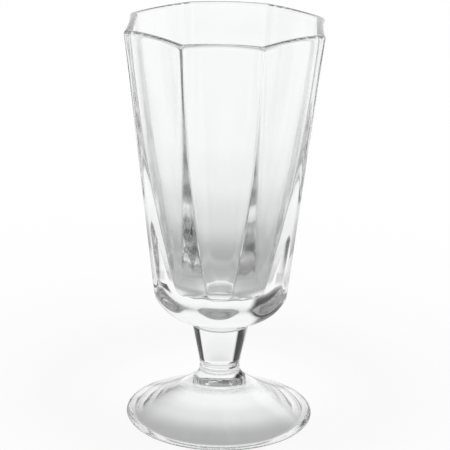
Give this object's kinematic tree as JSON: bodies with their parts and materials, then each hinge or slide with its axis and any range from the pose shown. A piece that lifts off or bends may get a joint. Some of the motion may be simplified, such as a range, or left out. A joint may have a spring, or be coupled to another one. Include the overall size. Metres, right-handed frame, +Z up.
{
  "type": "stemmed shot glass",
  "caption": "Stemmed shot glass: tapered octagonal bowl with hollowed panels on a short solid cone stem and a swept round foot, for serving small measures of spirits.",
  "frame": {"origin": "middle of the plane that the foot rests on", "axes": "+Z up along the axis of stem and bowl, bowl panels facing +X, -X, +Y and -Y and the diagonals between them"},
  "size_m": [0.0472, 0.0472, 0.101],
  "materials": {
    "clear_glass": "fire-polished, clear and colourless"
  },
  "bodies": {
    "root": {"bowl": "clear_glass", "stem": "clear_glass", "foot": "clear_glass"}
  },
  "joints": []
}
